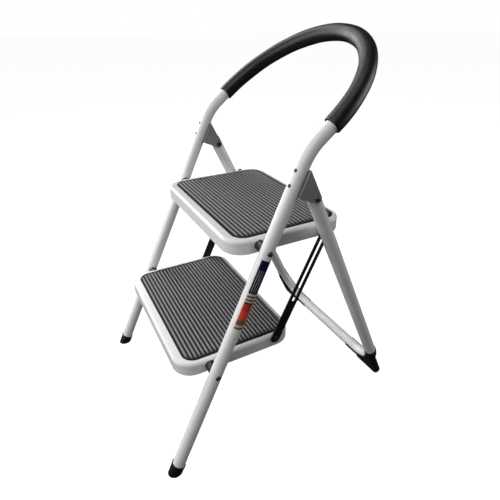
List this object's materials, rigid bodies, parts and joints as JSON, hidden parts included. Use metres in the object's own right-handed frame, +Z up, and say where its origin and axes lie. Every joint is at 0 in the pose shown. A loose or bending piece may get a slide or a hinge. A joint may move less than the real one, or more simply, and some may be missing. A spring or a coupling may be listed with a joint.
{
  "type": "step stool",
  "caption": "Folding steel step stool with ribbed rubber treads, a bowed padded handle, slotted folding straps and a U-shaped rear frame.",
  "frame": {"origin": "on the floor, in the middle of the open stool's footprint", "axes": "+Z up; +Y towards the rear frame, away from the climber; +X to the climber's right"},
  "size_m": [0.467, 0.5768, 0.7899],
  "materials": {
    "white_paint": "satin white powder coat",
    "grey_paint": "satin dark grey powder coat",
    "black_paint": "satin black paint",
    "tread_rubber": "ribbed matt rubber",
    "grip_foam": "skinned foam with a soft sheen",
    "black_plastic": "fine-grained moulded plastic",
    "zinc_steel": "dulled zinc plating",
    "label_film": "printed film"
  },
  "bodies": {
    "front_frame": {"front_frame_tube": "white_paint", "handle_grip": "grip_foam", "side_label": "label_film", "foot_cap_left": "black_plastic", "hinge_bracket_left": "grey_paint", "bracket_rivets_left": "zinc_steel", "hinge_pin_left": "zinc_steel", "upper_pivot_bolt_left": "zinc_steel", "upper_pivot_nut_left": "zinc_steel", "upper_spacer_left": "black_plastic", "lower_pivot_bolt_left": "zinc_steel", "lower_pivot_nut_left": "zinc_steel", "lower_spacer_left": "black_plastic", "foot_cap_right": "black_plastic", "hinge_bracket_right": "grey_paint", "bracket_rivets_right": "zinc_steel", "hinge_pin_right": "zinc_steel", "upper_pivot_bolt_right": "zinc_steel", "upper_pivot_nut_right": "zinc_steel", "upper_spacer_right": "black_plastic", "lower_pivot_bolt_right": "zinc_steel", "lower_pivot_nut_right": "zinc_steel", "lower_spacer_right": "black_plastic"},
    "rear_frame": {"rear_frame_tube": "white_paint", "rear_shoe_left": "black_plastic", "shoe_rivet_left": "zinc_steel", "guide_stud_left": "zinc_steel", "rear_shoe_right": "black_plastic", "shoe_rivet_right": "zinc_steel", "guide_stud_right": "zinc_steel"},
    "upper_step": {"upper_step_pan": "white_paint", "upper_step_mat": "tread_rubber", "upper_step_brace": "white_paint", "strap_bush_left": "black_plastic", "upper_strap_rivet_left": "zinc_steel", "strap_bush_right": "black_plastic", "upper_strap_rivet_right": "zinc_steel"},
    "lower_step": {"lower_step_pan": "white_paint", "lower_step_mat": "tread_rubber", "lower_step_brace": "white_paint", "lower_strap_rivet_left": "zinc_steel", "lower_strap_rivet_right": "zinc_steel"},
    "left_strap": {"strap_left": "black_paint"},
    "right_strap": {"strap_right": "black_paint"}
  },
  "joints": [
    {"name": "rear_frame_fold", "type": "hinge", "parent": "front_frame", "child": "rear_frame", "pos_m": [0, 0.03153, 0.52998], "axis": [-1, 0, 0], "range_deg": [0, 50.5]},
    {"name": "upper_step_tilt", "type": "hinge", "parent": "front_frame", "child": "upper_step", "pos_m": [0, -0.05971, 0.4474], "axis": [1, 0, 0], "range_deg": [0, 43.74]},
    {"name": "lower_step_tilt", "type": "hinge", "parent": "front_frame", "child": "lower_step", "pos_m": [0, -0.17017, 0.2158], "axis": [1, 0, 0], "range_deg": [0, 43.74]},
    {"name": "left_strap_swing", "type": "hinge", "parent": "lower_step", "child": "left_strap", "pos_m": [0, -0.02417, 0.2218], "axis": [-1, 0, 0], "range_deg": [0, 43.74]},
    {"name": "right_strap_swing", "type": "hinge", "parent": "lower_step", "child": "right_strap", "pos_m": [0, -0.02417, 0.2218], "axis": [-1, 0, 0], "range_deg": [0, 43.74]}
  ],
  "couplings": [
    {"joint": "upper_step_tilt", "follows": "rear_frame_fold", "ratio": 0.866},
    {"joint": "lower_step_tilt", "follows": "rear_frame_fold", "ratio": 0.866},
    {"joint": "left_strap_swing", "follows": "rear_frame_fold", "ratio": 0.866},
    {"joint": "right_strap_swing", "follows": "rear_frame_fold", "ratio": 0.866}
  ]
}
